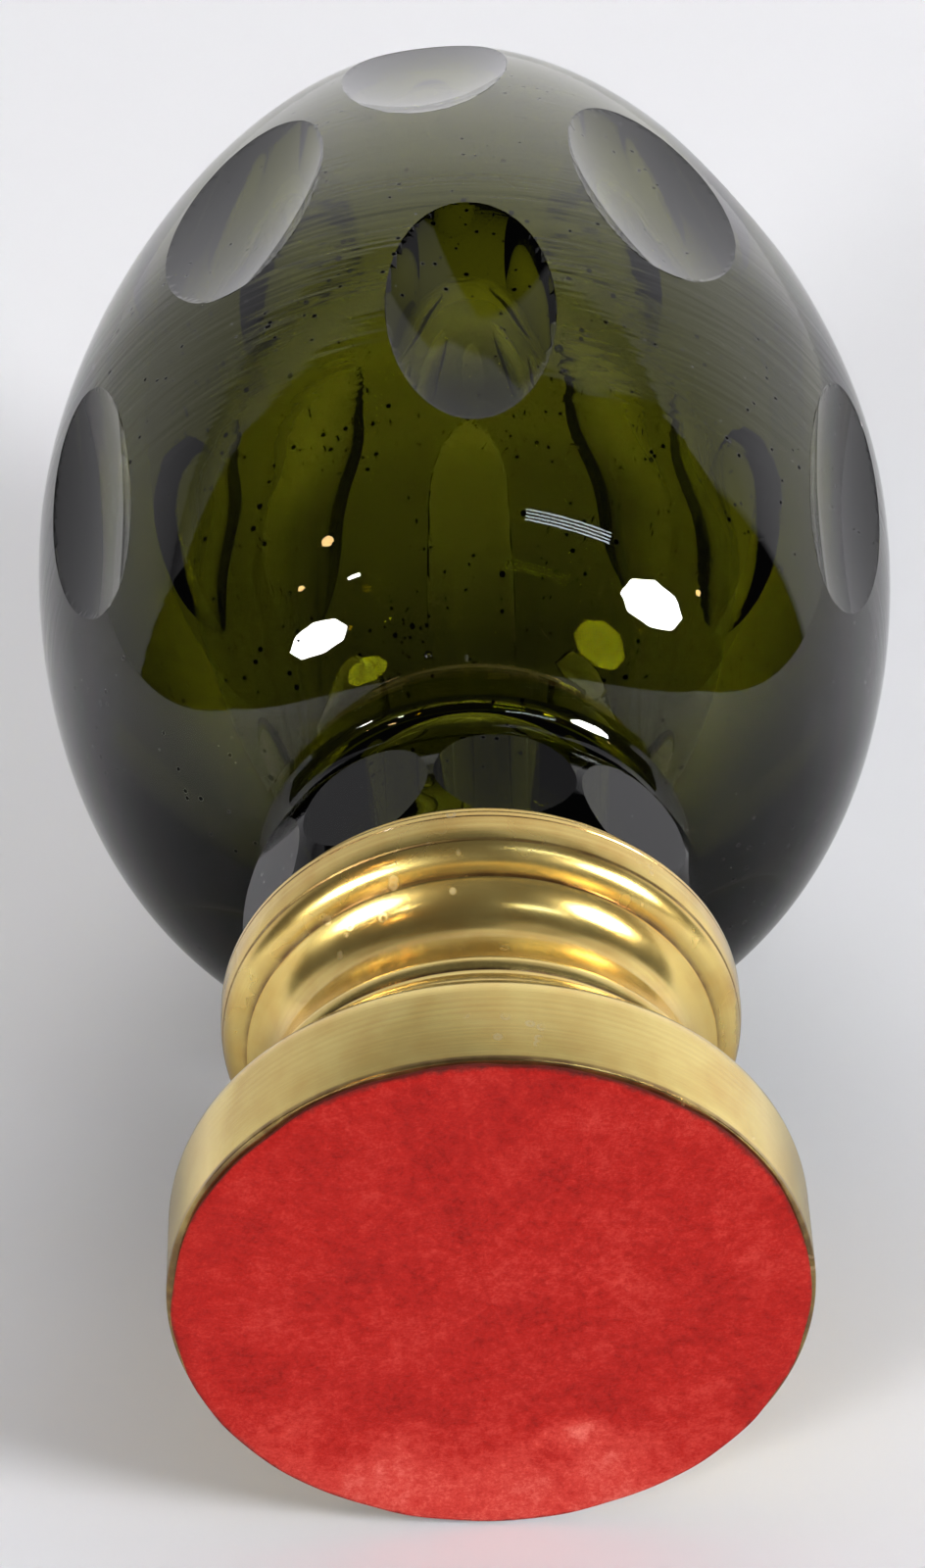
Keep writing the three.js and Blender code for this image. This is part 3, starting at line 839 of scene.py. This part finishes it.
CUP_GROOVES = ((42.72, 0.12), (41.27, 0.06), (38.0, 0.11), (CUP_BASE, 0.14))
STEM_GROOVES = ((35.45, 0.14), (24.75, 0.10), (22.0, 0.14))
DRUM_GROOVES = ((21.75, 0.12), (14.2, 0.15), (1.1, 0.2))
give_finish(brass_cup, turned_brass_finish("cup_brass", CUP_GROOVES, smoothest=0.22))
give_finish(brass_stem, turned_brass_finish("stem_brass", STEM_GROOVES, brushed_below=23.8))
give_finish(brass_drum, turned_brass_finish("drum_brass", DRUM_GROOVES, brushed_below=22.0))

# %% [markdown]
# Felt is matted fibre. Its red is uneven at the scale of a few millimetres, where it was
# pressed or worn, and at the scale of single fibres. It is painted paler towards the back,
# as painted light from the white table bouncing onto it, and is paler in one spot there. A
# sheen catches light as the loose fibres do, and the cut edge is dark with old glue and dirt
# and with painted shade where it tucks under the drum.

# %% Red felt
# The middle of a paler spot on the felt.
PALE_SPOT = (8, 18)  # mm to the right and to the back
FELT_REDS = (
    (0.3, (0.24, 0.004, 0.003)),
    (0.52, (0.43, 0.012, 0.008)),
    (0.72, (0.60, 0.05, 0.036)),
    (0.95, (0.80, 0.17, 0.13)),
)
# The cut edge's dark colour is old glue and dirt together with painted shade under the drum.
LINT, EDGE_DIRT_AND_SHADE = (0.75, 0.42, 0.38), (0.10, 0.015, 0.012)


def bounce_light_and_pale_spot(tree, where, x, y):
    """How much paler the felt is: painted bounce light from the table towards the back, and one
    pale spot.
    """
    ragged = noise_of(tree, where, 7.0, 4, 0.65)
    toward_back = maths(tree, "MULTIPLY_ADD", ragged, 22, less(tree, y, 11))
    across = maths(tree, "POWER", less(tree, x, PALE_SPOT[0]), 2)
    along = maths(tree, "POWER", times(tree, less(tree, y, PALE_SPOT[1]), 1.7), 2)
    off_spot = maths(tree, "SQRT", plus(tree, across, along))
    off_spot = maths(tree, "MULTIPLY_ADD", noise_of(tree, where, 3.0, 4, 0.65), 7, off_spot)
    spot = spread(tree, off_spot, 4, 8, 0.26, 0.0)
    # Painted light: paler towards the back, where the white table bounces light onto the felt, plus
    # the pale spot.
    return plus(tree, spread(tree, toward_back, 15, 25, 0.0, 0.22), spot)


def red_felt():
    made, tree, shader = finish_named("red_felt")
    feed_all(tree, shader, {"Roughness": 1, "Specular IOR Level": 0.1, "Sheen Weight": 0.06})
    feed_all(tree, shader, {"Sheen Roughness": 0.5, "Sheen Tint": (1, 0.55, 0.5)})
    where = place_of(tree)
    x, y, z = axes_of(tree, where)
    patches = noise_of(tree, where, 9.0, 4, 0.6)
    tufts = noise_of(tree, where, 1.1, 4, 0.7)
    fibres = noise_of(tree, where, 0.34, 5, 0.8)
    tone = maths(tree, "MULTIPLY_ADD", fibres, 0.55, times(tree, tufts, 0.42))
    tone = plus(tree, tone, spread(tree, patches, 0.3, 0.7, -0.09, 0.12))
    # Painted bounce light from the table makes the felt paler towards the back.
    tone = plus(tree, tone, bounce_light_and_pale_spot(tree, where, x, y))
    shade = colours(tree, tone, *FELT_REDS)
    lint = spread(tree, noise_of(tree, where, 0.7, 2), 0.79, 0.84, 0.0, 0.6)
    shade = mixed(tree, lint, shade, LINT)
    radius = distance_to_axis(tree, x, y)
    frayed = maths(tree, "MULTIPLY_ADD", noise_of(tree, where, 1.2, 4, 0.7), 1.4, radius)
    near_edge = spread(tree, frayed, 30.9, 31.5, 0.0, 0.9)
    # Painted shade where the edge tucks under the drum, together with old glue and dirt, darkens
    # the cut edge and the felt's upper side.
    dirt_and_shade = maths(tree, "MAXIMUM", near_edge, spread(tree, z, 0.3, 0.6, 0.0, 0.9))
    shade = mixed(tree, dirt_and_shade, shade, EDGE_DIRT_AND_SHADE)
    tree.links.new(shade, shader.inputs["Base Color"])
    bumped(tree, shader, maths(tree, "MULTIPLY_ADD", tufts, 0.8, fibres), 0.22)
    return made


give_finish(felt, red_felt())

# %% [markdown]
# The pieces inside never show unless the ornament is taken apart, but they are real, so
# each keeps its solid and gets its own finish: dulled steel, set plaster and grey board.

# %% Finishes of the hidden pieces
def plain_finish(name, dark, light, size, rough, depth, metal=0.0):
    made, tree, shader = finish_named(name)
    grain = noise_of(tree, place_of(tree), size, 6, 0.65)
    shade = colours(tree, grain, (0.3, dark), (0.7, light))
    uneven = spread(tree, grain, 0.2, 0.8, rough - 0.1, rough + 0.1)
    feed_all(tree, shader, {"Metallic": metal, "Base Color": shade, "Roughness": uneven})
    bumped(tree, shader, grain, depth)
    return made


dull_steel = plain_finish("dull_steel", (0.34, 0.34, 0.35), (0.55, 0.55, 0.56), 1.5, 0.4, 0.02, 1.0)
set_plaster = plain_finish("set_plaster", (0.38, 0.34, 0.28), (0.52, 0.48, 0.40), 1.0, 0.88, 0.1)
grey_board = plain_finish("grey_board", (0.24, 0.18, 0.12), (0.36, 0.29, 0.2), 0.8, 0.85, 0.08)
for node, made in (
    ("tie_bolt", dull_steel),
    ("washer", dull_steel),
    ("hex_nut", dull_steel),
    ("plaster_bed", set_plaster),
    ("base_disc", grey_board),
):
    give_finish(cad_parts[node], made)

# %% [markdown]
# In the photograph the ornament lies back on a white table, with the foot towards us and
# the camera looking down over it. Here it keeps its upright frame, so the table becomes a
# plane that leans against its back, touching the drum's edge and the widest part of the
# glass. It shows only from its front, so views from behind aren't blocked.

# %% Table
def one_sided(name, colour):
    made, tree, shader = finish_named(name)
    feed_all(tree, shader, {"Base Color": colour, "Roughness": 0.9, "Specular IOR Level": 0.1})
    clear = tree.nodes.new("ShaderNodeBsdfTransparent")
    facing = tree.nodes.new("ShaderNodeNewGeometry")
    both = tree.nodes.new("ShaderNodeMixShader")
    tree.links.new(facing.outputs["Backfacing"], both.inputs["Fac"])
    tree.links.new(shader.outputs[0], both.inputs[1])
    tree.links.new(clear.outputs[0], both.inputs[2])
    tree.links.new(both.outputs[0], tree.nodes["Material Output"].inputs["Surface"])
    return made, tree, both


BELLY_TOUCHES = (46.9, 102.6)  # radius and height of the glass where it meets the table
SHEET_GAP = 0.0002
WHITE_TABLE = (0.84, 0.84, 0.86)
table_lean = math.atan2(BELLY_TOUCHES[0] - DRUM_RADIUS, BELLY_TOUCHES[1] - DRUM_BASE)
up_table = Vector((0, math.sin(table_lean), math.cos(table_lean)))
off_table = Vector((0, -math.cos(table_lean), math.sin(table_lean)))
touch = Vector((0, DRUM_RADIUS, DRUM_BASE)) * MM - off_table * SHEET_GAP
side = Vector((1, 0, 0))
table_plan = ((-0.5, -0.3), (0.5, -0.3), (0.5, 0.6), (-0.5, 0.6))
table_corners = [touch + side * x + up_table * z for x, z in table_plan]
table = as_piece("white_table", table_corners, [[0, 1, 2, 3]])
print("table leans", round(math.degrees(table_lean), 1), "degrees")
table_finish, table_tree, _ = one_sided("white_table", WHITE_TABLE)
table.data.materials.append(table_finish)

# %% [markdown]
# Seen directly, the table has painted shade behind the foot, which makes it a little darker
# and bluer there. Reflected in polish or seen through glass, it is in the ornament's own
# shade near the foot. Through the glass that shade goes on along the body and fades out past
# its tip. The render's own shade came out weaker than the photograph's there, so it is
# painted, as a soft hill across the table, for those rays only.

# %% Shade on the table
# The table's colour in open light, and with its painted shade behind the foot.
OPEN_LIGHT, SHADE_BEHIND_THE_FOOT = (0.86, 0.86, 0.885), (0.74, 0.745, 0.785)


def hill_across(tree, x, half_width, power):
    """1 / (1 + (x / half_width) ** power)"""
    slope = maths(tree, "POWER", maths(tree, "ABSOLUTE", times(tree, x, 1 / half_width)), power)
    return maths(tree, "DIVIDE", 1.0, plus(tree, slope, 1))


def shade_the_table():
    tree = table_tree
    x, y, z = axes_of(tree, place_of(tree))
    rays = tree.nodes.new("ShaderNodeLightPath")
    through_glass = rays.outputs["Is Transmission Ray"]
    polish = maths(tree, "MAXIMUM", rays.outputs["Is Glossy Ray"], through_glass)
    near = times(tree, spread(tree, z, 75, 150, 0.55, 0), hill_across(tree, x, 150, 2))
    along = times(tree, spread(tree, z, 190, 330, 0.85, 0), hill_across(tree, x, 80, 4))
    shade = maths(tree, "MAXIMUM", near, times(tree, along, through_glass))
    shaded = mixed(tree, shade, WHITE_TABLE, BLACK)
    # Painted shade for camera rays: the table is darker and bluer towards the foot.
    open_light = mixed(tree, spread(tree, z, 0, 90, 1, 0), OPEN_LIGHT, SHADE_BEHIND_THE_FOOT)
    colour = mixed(tree, polish, open_light, shaded)
    tree.links.new(colour, tree.nodes["Principled BSDF"].inputs["Base Color"])
    print("table finish:", len(tree.nodes), "nodes")


shade_the_table()

# %% [markdown]
# The floor is a large pale square that the camera sees from above only, and that no other
# ray sees at all, because the light comes from below it as well.

# %% Floor
FLOOR_REACH, PALE_FLOOR = 1.5, (0.8, 0.8, 0.8)
floor_plan = ((-1, -1, 0), (1, -1, 0), (1, 1, 0), (-1, 1, 0))
floor = as_piece("pale_floor", [Vector(c) * FLOOR_REACH for c in floor_plan], [[0, 1, 2, 3]])
floor_finish, floor_tree, floor_mix = one_sided("pale_floor", PALE_FLOOR)
rays = floor_tree.nodes.new("ShaderNodeLightPath")
not_camera = less(floor_tree, 1, rays.outputs["Is Camera Ray"])
from_below = floor_mix.inputs["Fac"].links[0].from_socket
open_to = maths(floor_tree, "MAXIMUM", not_camera, from_below)
floor_tree.links.new(open_to, floor_mix.inputs["Fac"])
floor.data.materials.append(floor_finish)
print("floor:", 2 * FLOOR_REACH, "metres square")

# %% [markdown]
# The light is a dim studio: white paper stands up behind the ornament, a grey curtain shows
# over its top, and the rest is a dark room, which gives the brass its contrast and lets the
# green of the glass show. None of it is in the picture, it only shines on the ornament and
# shows in its polish, so it is painted on the world. A place on a wall at a distance of one
# is a width and a height over a depth, which two divisions give.

# %% Directions in the room
world = bpy.data.worlds.new("studio")
world.use_nodes = True
bpy.context.scene.world = world
sky = world.node_tree
heading = sky.nodes.new("ShaderNodeTexCoord")
NEVER_ZERO = 0.001


def along_axis(axis):
    made = sky.nodes.new("ShaderNodeVectorMath")
    made.operation = "DOT_PRODUCT"
    made.inputs[1].default_value = axis
    sky.links.new(heading.outputs["Generated"], made.inputs[0])
    return made.outputs["Value"]


depth = maths(sky, "MAXIMUM", along_axis(up_table), NEVER_ZERO)
sideways = maths(sky, "DIVIDE", along_axis(side), depth)
rise = maths(sky, "DIVIDE", along_axis(off_table), depth)
print("the wall stands towards", [round(v, 3) for v in up_table])

# %% [markdown]
# The paper's upper edge isn't level. It climbs to the right, with a tab that stands up near
# the middle. The curtain fills the space between that edge and its own. Each is a share from
# 0 to 1, and the light goes from dark to curtain to paper by those shares. The paper is
# brightest a little right of the middle, and dimmer towards its upper edge.

# %% Paper, curtain and dark room
DARK, ROOM_TINT, CAMERA_SEES = 0.02, (1.0, 0.99, 1.03), (0.8, 0.8, 0.82)
PAPER_GREYS = ((0.0, 0.52), (0.3, 0.54), (0.44, 0.85), (0.61, 0.97), (0.68, 0.84), (1.0, 0.84))


def within(tree, value, low, high, soft):
    """1 from low to high, and 0 outside, with soft edges."""
    rising = spread(tree, value, low - soft, low + soft, 0, 1)
    return times(tree, rising, spread(tree, value, high - soft, high + soft, 1, 0))


climb = spread(sky, sideways, 1.0, 2.1, 0, 0.65)
paper_edge = plus(sky, spread(sky, sideways, -0.3, 0.6, 1.1, 1.35), climb)
paper_edge = maths(sky, "MULTIPLY_ADD", within(sky, sideways, -0.2, 0.4, 0.1), 0.25, paper_edge)
over_paper = less(sky, rise, paper_edge)
under_edge = spread(sky, over_paper, -0.03, 0.03, 1, 0)
paper = times(sky, within(sky, sideways, -5.7, 3.5, 0.3), under_edge)
over_curtain = less(sky, rise, spread(sky, sideways, 0.0, 1.0, 1.8, 3.2))
under_rail = within(sky, over_curtain, -9, 0, 0.06)
curtain = times(sky, within(sky, sideways, -5.7, 1.8, 0.1), under_rail)

across = spread(sky, sideways, -2, 2, 0, 1)
paper_light = colours(sky, across, *((at, (grey,) * 3) for at, grey in PAPER_GREYS))
paper_light = times(sky, paper_light, spread(sky, rise, 0.45, 1.15, 1, 0.62))
curtain_light = spread(sky, over_paper, 0, 0.7, 0.17, 0.34)
room_light = maths(sky, "MULTIPLY_ADD", curtain, less(sky, curtain_light, DARK), DARK)
room_light = maths(sky, "MULTIPLY_ADD", paper, less(sky, paper_light, room_light), room_light)
room_colour = mixed(sky, room_light, BLACK, ROOM_TINT)
rays = sky.nodes.new("ShaderNodeLightPath")
seen = mixed(sky, rays.outputs["Is Camera Ray"], room_colour, CAMERA_SEES)
sky.links.new(seen, sky.nodes["Background"].inputs["Color"])
print("room:", len(sky.nodes), "nodes")

# %% [markdown]
# Two soft eight-sided boxes stand low on either side of the camera, a row of tubes hangs
# further off, and a few bulbs glow in the dark. Their reflections are the brightest things
# in the glass and the brass, so each is a flat panel of the right outline that glows and
# that the camera doesn't see.

# %% What a lamp is made of
LIT_FROM = Vector((0, 0, 0.07))


def glowing(name, colour, strength, in_gloss=1.0):
    """A lamp's face; in_gloss is how much brighter it looks in polished surfaces."""
    made, tree, shader = finish_named(name)
    tree.nodes.remove(shader)
    glow = tree.nodes.new("ShaderNodeEmission")
    rays = tree.nodes.new("ShaderNodeLightPath").outputs
    polish = maths(tree, "MAXIMUM", rays["Is Glossy Ray"], rays["Is Transmission Ray"])
    power = spread(tree, polish, 0, 1, strength, strength * in_gloss)
    feed_all(tree, glow, {"Color": colour, "Strength": power})
    tree.links.new(glow.outputs[0], tree.nodes["Material Output"].inputs["Surface"])
    return made


def facing_back(toward, distance):
    """The place of a lamp that stands in this direction and faces the ornament."""
    placed = toward.to_track_quat("Z", "Y").to_matrix().to_4x4()
    placed.translation = LIT_FROM + toward * distance
    return placed


def lamp_panel(name, toward, outline, distance, glow):
    panel = as_piece(name, [(x, y, 0) for x, y in outline], [list(range(len(outline)))])
    panel.data.transform(facing_back(Vector(toward).normalized(), distance))
    panel.data.materials.append(glow)
    panel.visible_camera = False


def eight_sided(width):
    half = width / 2 / math.cos(math.pi / 8)
    angles = np.arange(8) * math.pi / 4 + math.pi / 8
    return [(half * math.cos(a), half * math.sin(a)) for a in angles]


def oblong(width, height, y=0.0):
    corners = ((-1, -1), (1, -1), (1, 1), (-1, 1))
    return [(u * width / 2, y + v * height / 2) for u, v in corners]


soft_white = glowing("soft_white", (1, 1, 1), 42, 1.5)
warm_bulb = glowing("warm_bulb", (1, 0.62, 0.25), 24)
cool_tube = glowing("cool_tube", (0.80, 0.90, 1), 12)
print("lamp finishes:", [made.name for made in (soft_white, warm_bulb, cool_tube)])

# %% [markdown]
# The direction of each lamp was judged from where its reflection stands in the glass or the
# brass. A wide lamp behind lifts the far part of the table. It is kept out of the
# reflections, because the real light there comes off the curved paper.

# %% The lamps
TUBES_TOWARD, TUBE_COUNT, TUBE_GAP = (0.455, -0.865, -0.214), 4, 0.03
lamp_panel("softbox_left", (-0.586, -0.407, -0.701), eight_sided(0.38), 1.5, soft_white)
lamp_panel("softbox_right", (0.756, -0.478, -0.447), eight_sided(0.45), 1.5, soft_white)
for i in range(TUBE_COUNT):
    tube = oblong(0.55, 0.013, (i - (TUBE_COUNT - 1) / 2) * TUBE_GAP)
    lamp_panel(f"tube_{i}", TUBES_TOWARD, tube, 1.4, cool_tube)
lamp_panel("bulb_1", (-0.574, -0.794, -0.202), eight_sided(0.09), 1.6, warm_bulb)
lamp_panel("bulb_2", (-0.685, -0.623, -0.379), eight_sided(0.055), 1.6, warm_bulb)
lamp_panel("bulb_3", (-0.48, -0.739, -0.472), oblong(0.09, 0.04), 1.6, soft_white)
lamp_panel("bulb_4", (0.899, -0.395, -0.189), eight_sided(0.045), 1.6, warm_bulb)

off_paper = bpy.data.lights.new("off_the_paper", "AREA")
off_paper.shape, off_paper.size, off_paper.energy = "DISK", 1.2, 14.5
paper_lamp = bpy.data.objects.new("off_the_paper", off_paper)
paper_lamp.matrix_world = facing_back((0.55 * off_table + up_table).normalized(), 1.7)
paper_lamp.visible_camera = False
paper_lamp.visible_glossy = False
paper_lamp.visible_transmission = False
bpy.context.scene.collection.objects.link(paper_lamp)
print("two softboxes,", TUBE_COUNT, "tubes, four bulbs and", paper_lamp.name)

# %% [markdown]
# The camera was found by fitting the rims, grooves and outline of the object to the
# photograph: a long lens, below and in front of the upright ornament. Its three axes are
# written out, because the fit gives them and no look-at point is as exact.

# %% Camera
right = Vector((0.99937596, 0.02729575, -0.02241945))
down = Vector((-0.03532265, 0.77227254, -0.63430862))
ahead = Vector((0.0, 0.6347047, 0.77275477))
camera_data = bpy.data.cameras.new("camera")
camera_data.sensor_width, camera_data.lens = 36, 112.5
camera_data.clip_start, camera_data.clip_end = 0.01, 20
camera = bpy.data.objects.new("camera", camera_data)
placed = Matrix((right, -down, -ahead)).transposed().to_4x4()
placed.translation = Vector((-0.00103091, -0.33459433, -0.32898871))
camera.matrix_world = placed
bpy.context.scene.collection.objects.link(camera)
bpy.context.scene.camera = camera
bpy.context.scene.view_settings.view_transform = "Standard"
print("camera stands", round(placed.translation.length, 3), "metres from the felt")
